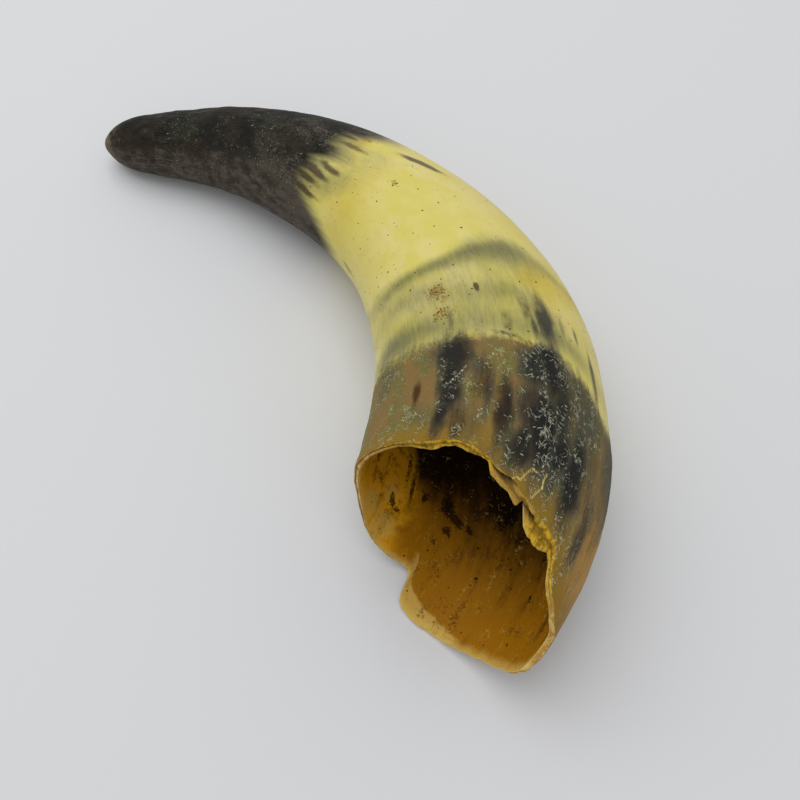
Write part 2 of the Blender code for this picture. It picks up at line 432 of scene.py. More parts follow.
@dataclass(frozen=True)
class Zones:
    """The horn's colour zones, by angle and distance along it.

    A row of tip, rough or shade has an angle and where the zone starts there, and in rough and shade also how
    soft its edge is. A band's row has its angle, place, half width and strength. An amber patch's row has its
    place, angle, reach, half width and strength.
    """

    tip: Points = (
        (0, 172), (8, 174), (14, 171), (24, 165), (35, 158), (47, 153), (59, 152.5), (66, 155.5),
        (71, 160), (80, 161.5), (92, 161.5), (96, 158.5), (104, 158.5), (107, 161), (110, 164), (118, 165),
        (124, 166), (130, 167), (137, 166), (144, 165), (150, 162.5), (155, 160), (161, 156), (167, 152),
        (173, 148), (179, 145), (190, 146), (200, 151), (215, 158), (240, 162), (270, 158), (300, 162),
        (330, 168), (360, 172),
    )
    rough: Points = (
        (0, 34, 2), (20, 35, 2), (30, 36, 2), (40, 39.5, 2), (48, 43, 2), (56, 45.8, 2), (64, 48, 1.5),
        (72, 49, 1), (80, 49.5, 1), (88, 50.8, 1), (95, 51.5, 1.3), (105, 52, 1.8), (120, 52, 2.2),
        (135, 53.5, 3.2), (150, 56, 4), (165, 54, 4), (180, 50, 3), (200, 48, 2), (230, 47, 2),
        (270, 44, 2), (320, 38, 2), (360, 34, 2),
    )
    bands: tuple[Points, ...] = (
        (
            (0, 66, 4, 0.2), (20, 68, 3, 0.25), (40, 74, 3.4, 0.4), (50, 78, 4.4, 0.6),
            (58, 80.5, 6, 0.66), (66, 82, 6.8, 0.72), (75, 83.5, 6.6, 0.74), (85, 84.2, 6.0, 0.72),
            (93, 84, 4.8, 0.68), (102, 83, 3, 0.6), (112, 83.5, 3, 0.6), (125, 84.8, 3.2, 0.62),
            (137, 86, 3.6, 0.62), (150, 87.2, 4.2, 0.62), (160, 88.5, 4.2, 0.55), (170, 90, 4.5, 0.4),
            (180, 94, 5, 0.35), (220, 96, 5, 0.4), (300, 80, 5, 0.3), (360, 66, 4, 0.2),
        ),
        (
            (0, 54, 4, 0.2), (30, 55, 4, 0.2), (55, 58, 4, 0.2), (65, 62, 4, 0.25), (75, 66, 4.6, 0.42),
            (85, 67.5, 5, 0.42), (95, 67, 5, 0.35), (110, 70, 6, 0.3), (125, 74, 6, 0.3),
            (135, 76, 5, 0.35), (150, 76, 6, 0.3), (170, 74, 5, 0.25), (200, 70, 5, 0.3),
            (300, 60, 5, 0.2), (360, 54, 4, 0.2),
        ),
        (
            (0, 40, 4, 0.3), (30, 44, 4, 0.3), (46, 49, 4, 0.7), (60, 53, 5, 0.75), (72, 53, 5, 0.5),
            (85, 56, 6, 0.4), (100, 57, 6, 0.42), (115, 58, 6, 0.5), (130, 59, 6, 0.65),
            (145, 60, 6, 0.85), (155, 59, 6, 0.65), (165, 57, 5, 0.5), (180, 56, 6, 0.5),
            (250, 52, 5, 0.4), (330, 44, 4, 0.3), (360, 40, 4, 0.3),
        ),
        (
            (0, 150, 8, 0), (70, 144, 9, 0), (84, 145, 12, 0.35), (96, 144, 12, 0.3), (108, 146, 12, 0.35),
            (120, 150, 12, 0.6), (132, 155, 11, 0.7), (142, 156, 8, 0.4), (150, 152, 6, 0),
            (360, 150, 8, 0),
        ),
    )
    # Where the painted shade deep in the hollow begins, at each angle, and how soft its edge is.
    shade: Points = (
        (0, 4, 9), (150, 6, 9), (165, 30, 12), (172, 50, 12), (225, 46, 9), (232, 37, 5), (237, 27, 5),
        (246, 24, 8), (256, 20, 11), (270, 16, 12), (285, 13, 12), (300, 8, 13), (315, 8, 13),
        (330, 8, 11), (345, 6, 10), (360, 4, 9),
    )
    veil: Points = (
        (0, 0.0), (50, 0.0), (62, 0.2), (72, 0.32), (135, 0.36), (155, 0.26), (172, 0.06), (360, 0.0),
    )
    amber: tuple[tuple[float, float, float, float, float], ...] = (
        (137, 140, 14, 10, 0.4), (148, 114, 9, 10, 0.35), (136, 124, 10, 10, 0.3), (120, 96, 9, 3, 0.35),
        (112, 150, 16, 8, 0.35), (136, 165, 12, 6, 0.4), (67, 60, 7, 7, 0.6), (83, 165, 5, 9, 0.6),
        (77, 55, 4, 7, 0.6), (74, 44, 5, 8, 0.65), (70, 34, 5, 8, 0.8), (72, 66, 3, 4, 0.6),
        (152, 76, 4, 8, 0.7), (136, 95, 6, 6, 0.3), (70, 20, 6, 8, 0.8), (120, 240, 20, 14, 0.6),
        (110, 300, 18, 16, 0.6), (125, 10, 16, 10, 0.5), (96, 40, 12, 4, 0.5),
    )

    def past_shade_line(self, along: Array, around: Array) -> Array:
        """How far into the hollow each place is past the line where its painted shade deepens, from -1 to 1
        where the change lies.
        """
        return (along - straight_through(self.shade, around)) / straight_through(self.shade, around, 2)

    def past_tip_line(self, along: Array, around: Array) -> Array:
        """How far each place is into the dark tip, in mm."""
        return along - straight_through(self.tip, around)

    def past_rough_line(self, along: Array, around: Array) -> Array:
        """How far each place is into the rough base, in mm, and less where the change is soft."""
        return (straight_through(self.rough, around) - along) / straight_through(self.rough, around, 2)

    def grey(self, along: Array, around: Array) -> Array:
        """How much of the grey-green bands each place has, from 0 to 1."""
        total = straight_through(self.veil, around) * ramp(along, 40, 55) * ramp(along, 89, 84)
        for band in self.bands:
            where, thick, strength = (straight_through(band, around, i) for i in (1, 2, 3))
            total += strength * np.exp(-(((along - where) / thick) ** 2))
        return np.clip(total, 0, 1.2)

    def warm(self, along: Array, around: Array, radius: Array) -> Array:
        """How warm the yellow is at each place, from 0 to 1."""
        total = np.zeros(len(along))
        for middle, angle, reach, half, strength in self.amber:
            across = np.radians(turn_from(around, angle)) * radius
            total += strength * np.exp(-(((along - middle) / reach) ** 2) - (across / half) ** 2)
        return np.clip(total, 0, 1.2)


@dataclass
class HornSheath:
    """The horn itself, from its torn edge out to the tip and back inside to the hollow's end."""

    line: HornLine = field(default_factory=HornLine)
    edge: TornEdge = field(default_factory=TornEdge)
    zones: Zones = field(default_factory=Zones)
    columns: int = 300
    shaft_rows: int = 204
    dome_rows: int = 16
    edge_rows: int = 12
    ledge: Points = ((228, 151), (238, 157), (248, 156), (256, 150), (262, 146))
    lining_rows: int = 84
    wall: float = 1.8
    hollow_end: float = 150.0
    unrolled_radius: float = 35.0
    far: float = 9.0
    rough_rise: float = 0.3
    ground_off: float = 0.26
    knob_height: float = 0.16
    fibre_height: float = 0.1
    swell_height: float = 0.2
    lining_grain: float = 0.12

    def column_angles(self) -> Array:
        """Gives the columns' angles, twice as close round the top of the torn edge as elsewhere."""
        fine = np.arange(0, 360.5, 0.5)
        crowd = 1 + 1.3 * np.exp(-(((fine - 75) / 40) ** 2))
        reached = np.concatenate(([0], np.cumsum((crowd[1:] + crowd[:-1]) / 2)))
        return np.interp(np.arange(self.columns) / self.columns * reached[-1], reached, fine)

    def straight_tube(self) -> bpy.types.Mesh:
        """Extrudes a ring of unit radius a row at a time, up for the outer skin and down for the inner one.

        Returns:
            The closed tube's mesh. A point's height is the number of its row, and 0 is the torn edge.
        """
        bm = bmesh.new()
        bmesh.ops.create_circle(bm, segments=self.columns, radius=1.0)
        start = list(bm.edges)
        for rows, step in ((self.shaft_rows + self.dome_rows, 1), (self.edge_rows + self.lining_rows, -1)):
            ring = start
            for _ in range(rows):
                made = bmesh.ops.extrude_edge_only(bm, edges=ring)["geom"]
                corners = [g for g in made if isinstance(g, bmesh.types.BMVert)]
                ring = [g for g in made if isinstance(g, bmesh.types.BMEdge) and g.is_boundary]
                bmesh.ops.translate(bm, verts=corners, vec=(0, 0, step))
            bmesh.ops.pointmerge(bm, verts=corners, merge_co=(0, 0, rows * step))
        bmesh.ops.recalc_face_normals(bm, faces=bm.faces)
        mesh = bpy.data.meshes.new("horn_sheath")
        bm.to_mesh(mesh)
        bm.free()
        return mesh

    def hollow_half_width(self, along: Array) -> Array:
        """Half the hollow's width: a thin wall at the mouth, none left where the hollow ends."""
        depth = np.clip(along / self.hollow_end, 0, 1)
        return (self.line.half_width(along) - self.wall) * (1 - depth**3) ** 0.6

    def lay_out(self, row: Array, around: Array) -> tuple[Array, Array, Array]:
        """Finds each point's place along the horn from its row.

        Args:
            row: Row numbers, negative past the torn edge and inside.
            around: Angles round the horn.

        Returns:
            Distances along the horn, half widths there, and how far through the wall each is, from 0 to 1.
        """
        skin, lining = self.edge.skin(around), self.edge.lining(around)
        share = np.clip(row / self.shaft_rows, 0, 1) ** 1.3
        turn = np.clip((row - self.shaft_rows) / self.dome_rows, 0, 1) * np.pi / 2
        outer = skin + (self.line.end - skin) * share + self.line.dome * np.sin(turn)
        through = np.clip(-row / self.edge_rows, 0, 1)
        broken = self.edge.break_at(around, through)
        deep = np.clip((-row - self.edge_rows) / self.lining_rows, 0, 1) ** 1.4
        inner = lining + (self.hollow_end * 0.999 - lining) * deep
        along = np.where(row >= 0, outer, np.where(through < 1, broken, inner))
        at_edge = self.line.half_width(along) - self.wall * through
        inside = np.where(through < 1, at_edge, self.hollow_half_width(along))
        return along, np.where(row >= 0, self.line.half_width(along), inside), through

    def pressed(self, along: Array, around: Array) -> Array:
        """The low swelling and the dent beside it, near the mouth on the inner side of the bend."""
        swelling = 0.9 * np.exp(-(((around - 226) / 12) ** 2))
        return (swelling - 0.7 * np.exp(-(((around - 190) / 15) ** 2))) * ramp(along, 24, 8)

    def full_flank(self, along: Array, around: Array) -> Array:
        """How far the outer side of the bend bulges, at the base and under the grey-green band."""
        bulge = 0.45 * ramp(along, 0, 8) * ramp(along, 40, 26)
        bulge += 0.7 * ramp(along, 48, 60) * ramp(along, 96, 84)
        return np.exp(-((turn_from(around, 10) / 24) ** 2)) * bulge

    def tip_ledge(self, along: Array, around: Array) -> Array:
        """The step that runs along the tip's inner side, where a flake has come off."""
        angle = np.interp(along, [p[0] for p in self.ledge], [p[1] for p in self.ledge])
        over = ramp(along, 226, 236) * ramp(along, 266, 258) * ramp(around, 205, 180)
        return over * (0.9 * ramp(around, angle + 3, angle - 1.5) - 0.45)

    def relief(self, grain: Array, along: Array, around: Array, through: Array) -> Array:
        """Works out how far each point stands out from the plain form.

        Args:
            grain: The points as they lie in the straight horn.
            along: Distances along the horn.
            around: Angles round it.
            through: How far through the wall each point is.

        Returns:
            Heights in mm, outwards.
        """
        line = self.zones.past_rough_line(along, around)
        rough = ramp(line + 0.8 * roughly(grain, 5), -0.6, 0.9)
        left = ramp(around, 130, 165) * ramp(around, 230, 190)
        tip = ramp(self.zones.past_tip_line(along, around), 0, 40)
        knobs = roughly(grain, 7, 4)
        fibres = roughly(grain, 1.8, 3, 9)
        swell = roughly(grain, 26, 2)
        outer = (self.rough_rise + 0.15 * left) * rough - self.ground_off - 0.14 * left
        outer += self.knob_height * rough * knobs + self.fibre_height * (0.35 + rough) * fibres
        pressed = self.pressed(along, around)
        outer += self.full_flank(along, around) + pressed
        ledge = self.tip_ledge(along, around)
        outer += self.swell_height * swell + tip * (0.22 * knobs + 0.08 * fibres) + ledge
        inner = self.lining_grain * knobs + self.lining_grain * fibres - pressed
        fade = ramp(self.line.end + self.line.dome - along, 0.0, 3.0)
        return (outer * (1 - through) - inner * through) * fade

    def build(self, finish: "HornFinish") -> bpy.types.Object:
        """Makes the horn and puts it in the frame in place of the plain one.

        Args:
            finish: What it is made of.

        Returns:
            The horn's object.
        """
        mesh = self.straight_tube()
        count = len(mesh.vertices)
        flat = np.empty(count * 3)
        mesh.vertices.foreach_get("co", flat)
        straight = flat.reshape(-1, 3)
        turned = np.degrees(np.arctan2(straight[:, 1], straight[:, 0])) % 360
        angles = self.column_angles()
        column = np.rint(turned / 360 * self.columns).astype(int) % self.columns
        pole = np.hypot(straight[:, 0], straight[:, 1]) < 0.5
        around, row = np.where(pole, 0, angles[column]), straight[:, 2]
        along, half, through = self.lay_out(row, around)
        along = np.where(pole, np.where(row > 0, self.line.end + self.line.dome, self.hollow_end), along)
        half = np.where(pole, 0, half)
        angle = np.radians(around)
        grain = np.column_stack((half * np.cos(angle), half * np.sin(angle), along))
        half = half + np.where(pole, 0, self.relief(grain, along, around, through))
        points = self.line.skin(along, around, half) * MM
        mesh.vertices.foreach_set("co", points.astype(np.float32).ravel())
        self.keep_marks(mesh, grain, along, around, through)
        self.unroll(mesh, along, around)
        mesh.shade_smooth()
        mesh.materials.append(finish.material())
        horn = bpy.data.objects.new("horn_sheath", mesh)
        bpy.context.scene.collection.objects.link(horn)
        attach(horn, "root")
        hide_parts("horn")
        LOG.info("%s: %d points, %d faces", horn.name, count, len(mesh.polygons))
        return horn

    def keep_marks(
        self, mesh: bpy.types.Mesh, grain: Array, along: Array, around: Array, through: Array
    ) -> None:
        """Keeps the zones, stains and distances on the mesh, where the material reads them.

        Args:
            mesh: The horn's mesh.
            grain: The points as they lie in the straight horn.
            along: Distances along the horn.
            around: Angles round it.
            through: How far through the wall each point is.
        """
        radius = np.maximum(self.line.width(along), 5)
        outside = through < 0.5
        skin, lining = self.edge.skin(around), self.edge.lining(around)
        sway = 0.9 * roughly(grain, 6, 4) + 0.5 * roughly(grain, 2.2, 2, 3)
        stains = np.zeros((len(along), len(Stain)))
        for blotches, here in ((OUTSIDE_BLOTCHES, outside), (INSIDE_BLOTCHES, ~outside)):
            for kind, rows in blotches.items():
                for row in rows:
                    cover = np.where(here, Blotch(*row).cover(along, around, radius, sway), 0)
                    stains[:, kind.value] = np.maximum(stains[:, kind.value], cover)
        hair = np.full(len(along), self.far)
        across = np.radians(around) * self.unrolled_radius + 0.3 * sway
        for line in self.edge.hairlines:
            curve = [(math.radians(angle) * self.unrolled_radius, at) for angle, at in line]
            hair = np.minimum(hair, beside(curve, across, along))
        # Where the cracks run, for the painted shade in their gaps.
        crack_shade = np.zeros(len(along))
        for line in self.edge.crack_lines():
            near = ramp(beside(line, around, through * 6), 1.2, 0.4)
            crack_shade = np.maximum(crack_shade, near * (through > 0.01) * (through < 1))
        zones, angle = self.zones, np.radians(around)
        from_edge = along - np.where(outside, skin, lining)
        lists = {
            "grain": (grain * MM).T,
            "zones": (
                zones.past_tip_line(along, around),
                zones.past_rough_line(along, around),
                zones.grey(along, around),
            ),
            "stains": stains[:, :3].T,
            "marks": (stains[:, Stain.RUST.value], np.where(outside, hair, self.far), crack_shade),
            "wall": (through, from_edge, zones.warm(along, around, radius)),
            "place": (zones.past_shade_line(along, around), np.cos(angle), np.sin(angle)),
        }
        for name, values in lists.items():
            kept = mesh.attributes.new(name, "FLOAT_VECTOR", "POINT")
            kept.data.foreach_set("vector", np.column_stack(values).astype(np.float32).ravel())

    def unroll(self, mesh: bpy.types.Mesh, along: Array, around: Array) -> None:
        """Gives the mesh a flat map in metres: across it goes round the horn, and up it goes along it.

        Args:
            mesh: The horn's mesh.
            along: Distances along the horn.
            around: Angles round it.
        """
        loops, faces, read = mesh.loops, mesh.polygons, []
        for rows, name in ((loops, "vertex_index"), (faces, "loop_start"), (faces, "loop_total")):
            numbers = np.empty(len(rows), np.int32)
            rows.foreach_get(name, numbers)
            read.append(numbers)
        owner, first, size = read
        face = np.repeat(np.arange(len(first)), size)
        turn = around[owner]
        most = np.maximum.reduceat(turn, first)[face]
        turn = np.where(most - turn > 180, turn + 360, turn)
        flat = np.column_stack((np.radians(turn) * self.unrolled_radius, along[owner])) * MM
        unrolled = mesh.uv_layers.new(name="unrolled")
        unrolled.data.foreach_set("uv", flat.astype(np.float32).ravel())


def add(tree: bpy.types.NodeTree, kind: str, settings: dict | None = None, **links: object) -> bpy.types.Node:
    """Adds a node with its settings, and feeds its inputs.

    Args:
        tree: The node tree.
        kind: The node's type, without its ShaderNode.
        settings: Properties of the node itself.
        **links: An input's name or number, as i0 or From_Min, and what feeds it: what a node puts out, or a
            plain value.

    Returns:
        The node.
    """
    node = tree.nodes.new("ShaderNode" + kind)
    for name, value in (settings or {}).items():
        setattr(node, name, value)
    for name, source in links.items():
        by_number = name[0] == "i" and name[1:].isdigit()
        socket = node.inputs[int(name[1:]) if by_number else name.replace("_", " ")]
        if isinstance(source, Value):
            tree.links.new(source.socket, socket)
        else:
            socket.default_value = source
    return node


@dataclass(frozen=True)
class Value:
    """A number, a colour or a place that a node puts out, and what is worked out from it."""

    socket: bpy.types.NodeSocket

    def feed(self, kind: str, settings: dict | None = None, out: int = 0, **links: object) -> "Value":
        """Adds a node to the tree that this comes from.

        Args:
            kind: The node's type, without its ShaderNode.
            settings: Properties of the node itself.
            out: Which of its outputs is wanted.
            **links: What feeds its inputs, as add takes it.

        Returns:
            What the node puts out.
        """
        return Value(add(self.socket.id_data, kind, settings, **links).outputs[out])

    def maths(self, what: str, other: "Value | float" = 0.0, more: "Value | float" = 0.0) -> "Value":
        """Does one sum with this number and up to two others."""
        return self.feed("Math", {"operation": what}, i0=self, i1=other, i2=more)

    def __mul__(self, share: "Value | float") -> "Value":
        """Multiplies this number by another."""
        return self.maths("MULTIPLY", share)

    def __or__(self, other: "Value") -> "Value":
        """Takes the larger of two numbers."""
        return self.maths("MAXIMUM", other)

    def rest(self) -> "Value":
        """What this share leaves of 1."""
        return self.feed("Math", {"operation": "SUBTRACT"}, i0=1.0, i1=self, i2=0.0)

    def step(self, start: float, end: float) -> "Value":
        """Eases from 0 at start to 1 at end."""
        smooth = {"interpolation_type": "SMOOTHSTEP"}
        return self.feed("MapRange", smooth, Value=self, From_Min=start, From_Max=end)

    def about(self, middle: "Value | float", size: float) -> "Value":
        """Makes this noise a wave about a middle, by up to half of size each way."""
        return self.maths("SUBTRACT", 0.5).maths("MULTIPLY_ADD", size, middle)

    def sway(self, *waves: "Value | float") -> "Value":
        """Moves this number up and down with noises.

        Args:
            *waves: Each noise and its size, one pair after the other.

        Returns:
            The moved number.
        """
        moved = self
        for wave, size in zip(waves[::2], waves[1::2]):
            moved = wave.about(moved, size)
        return moved

    def blend(self, under: "Value | str", over: "Value | str") -> "Value":
        """Lays one colour over another by this share. A colour is six hex digits or comes out of a node."""
        under, over = (linear(c) if isinstance(c, str) else c for c in (under, over))
        return self.feed("Mix", {"data_type": "RGBA"}, 2, i0=self, i6=under, i7=over)


class HornNodes:
    """What every part of the horn's material reads: the marks kept on the mesh, and shared noises."""

    def __init__(self, tree: bpy.types.NodeTree) -> None:
        """Reads the marks and adds the noises that are shared.

        Args:
            tree: The material's node tree.
        """
        self.tree = tree
        self.grain = Value(add(tree, "Attribute", {"attribute_name": "grain"}).outputs["Vector"])
        self.past_tip, self.past_rough, self.grey = self.kept("zones")
        self.slate, self.brown, self.moss = self.kept("stains")
        self.rust, self.hair, self.crack_shade = self.kept("marks")
        self.through, self.from_edge, self.warm = self.kept("wall")
        self.past_shade, self.outward, self.upward = self.kept("place")
        self.streaks = self.grained(3.2, 6, 1.5)
        self.fibres = self.grained(1.1, 14, 3.0, 1.0)
        self.fine = self.grained(0.45, 16, 2.0, 3.0)
        self.clouds = self.grained(11, 1.6, 3.0, 7.0)
        self.mottle = self.grained(3.2, 1.5, 5.0, 11.0)
        self.grit = self.grained(0.7, 1.0, 4.0, 5.0)
        # The unrolled skin is bent a little, so that marks on it aren't ruled.
        flat = Value(add(tree, "UVMap", {"uv_map": "unrolled"}).outputs[0])
        warp = flat.feed("TexNoise", {"noise_dimensions": "2D"}, 1, Vector=flat, Scale=330.0, Detail=2.0)
        reach = (0.0016, 0.0016, 0.0)
        self.bent = flat.feed("VectorMath", {"operation": "MULTIPLY_ADD"}, i0=warp, i1=reach, i2=flat)

    def kept(self, name: str) -> tuple[Value, ...]:
        """Reads the three numbers that the mesh keeps under a name."""
        read = Value(add(self.tree, "Attribute", {"attribute_name": name}).outputs["Vector"])
        return tuple(Value(part) for part in add(self.tree, "SeparateXYZ", i0=read).outputs)

    def grained(self, size: float, stretch: float, detail: float = 4.0, seed: float = 0.0) -> Value:
        """Noise that follows the fibres, from 0 to 1.

        Args:
            size: How wide its largest features are across the fibres, in mm.
            stretch: How many times longer than wide they are.
            detail: How fine it goes.
            seed: Moves it to another place.

        Returns:
            The noise.
        """
        scale = 1 / (size * MM)
        scales = (scale, scale, scale / stretch)
        shape = self.grain.feed("Mapping", Vector=self.grain, Location=(seed, seed, seed), Scale=scales)
        return shape.feed("TexNoise", Vector=shape, Scale=1.0, Detail=detail, Roughness=0.6)

    def cells(self, where: Value, length: float, width: float) -> tuple[Value, Value, Value]:
        """Splits the skin into cells with a point in each.

        Args:
            where: The place that each part of the skin reads.
            length: How long a cell is, in mm.
            width: How wide it is.

        Returns:
            How far each place is from its cell's point, in cells, and two random numbers for the cell.
        """
        laid = where.feed("Mapping", Vector=where, Scale=(1 / (length * MM), 1 / (width * MM), 1))
        cell = add(self.tree, "TexVoronoi", {"voronoi_dimensions": "2D"}, Vector=laid, Scale=1.0)
        chance = add(self.tree, "SeparateColor", i0=Value(cell.outputs["Color"]))
        return Value(cell.outputs["Distance"]), Value(chance.outputs[0]), Value(chance.outputs[1])

    def dashes(self, turn: float, length: float, width: float, empty: float) -> Value:
        """Scatters short marks over the unrolled skin.

        Args:
            turn: The way they lie, in radians from straight across.
            length: How long each mark's cell is, in mm.
            width: How wide its cell is.
            empty: The share of cells left empty.

        Returns:
            1 on a mark and 0 off it.
        """
        turned = self.bent.feed("Mapping", Vector=self.bent, Rotation=(0, 0, turn))
        distance, luck, _ = self.cells(turned, length, width)
        return distance.step(0.3, 0.1) * luck.maths("GREATER_THAN", empty)

    def dots(self, cell: float, least: float, more: float, empty: float) -> Value:
        """Scatters spots of different sizes over the unrolled skin.

        Args:
            cell: How far apart they are, in mm.
            least: The smallest one's radius, in cells.
            more: How much larger the largest one's is.
            empty: The share of cells left empty.

        Returns:
            1 on a spot and 0 off it.
        """
        distance, luck, size = self.cells(self.bent, cell, cell)
        soft = 0.07 / cell
        edge = distance.maths("SUBTRACT", size.maths("MULTIPLY_ADD", more, least))
        return edge.step(soft, -soft) * luck.maths("GREATER_THAN", empty)

    def hairs(self, size: float, width: float, seed: float) -> Value:
        """Thin curled lines, broken into short bits.

        Args:
            size: The size of their curls, in mm.
            width: How wide they are, as a share of the noise that they follow.
            seed: Moves them to another place.

        Returns:
            1 on a line and 0 off it.
        """
        off = self.grained(size, 1.2, 1.0, seed).maths("SUBTRACT", 0.5).maths("ABSOLUTE")
        return off.step(width, 0.0) * self.grained(size * 1.2, 1.0, 1.0, seed + 3.0).step(0.5, 0.57)


@dataclass(frozen=True)
class HornFinish:
    """Cattle horn: keratin in long fibres, see-through amber where it is thin, dark where the pigment lies.

    Its middle has been ground and polished, so it shines softly and shows its bands. The tip has kept a dull
    bloom. The base is as it grew: rough, scratched and flaking.
    """

    pale: str = "D6C864"
    cream: str = "DED085"
    warm: str = "CCB53E"
    band: str = "696A3C"
    dusk: str = "6B6842"
    base: str = "86693C"
    base_olive: str = "6C6A3A"
    base_tan: str = "B68641"
    amber: str = "8C6C1A"
    slate: str = "191B1C"
    slate_blue: str = "3E423E"
    brown: str = "35200E"
    moss: str = "424530"
    rust: str = "80600A"
    tip: str = "171713"
    tip_brown: str = "31271E"
    tip_olive: str = "2E2F25"
    tip_grey: str = "6E6458"
    tip_end: str = "8A7C58"
    tip_line: str = "A59569"
    fleck: str = "D6D0B4"
    fleck_lime: str = "A3A668"
    torn: str = "CFA32E"
    torn_tan: str = "A98440"
    torn_pale: str = "D8BE70"
    layer: str = "65390F"
    lining: str = "A26B08"
    lining_lit_through_wall: str = "F6B01C"
    lining_pale: str = "DDBC62"
    lining_rust: str = "5C3006"
    lining_stain_and_shade: str = "140A04"
    refraction: float = 1.54
    glow: float = 0.08
    glow_reach: float = 0.002
    glow_tint: tuple[float, float, float] = (1.0, 0.6, 0.2)
    dullness: tuple[float, float] = (0.4, 0.55)
    shine: tuple[float, float] = (0.26, 0.07)
    bump_strength: float = 0.5
    bump_depth: float = 0.0003

    def material(self) -> bpy.types.Material:
        """Builds the horn's material.

        Returns:
            The material, which reads the marks kept on the mesh.
        """
        material = bpy.data.materials.new("cattle_horn_keratin")
        material.use_nodes = True
        HornPaint(material.node_tree, self).cover(material.node_tree.nodes["Principled BSDF"])
        return material


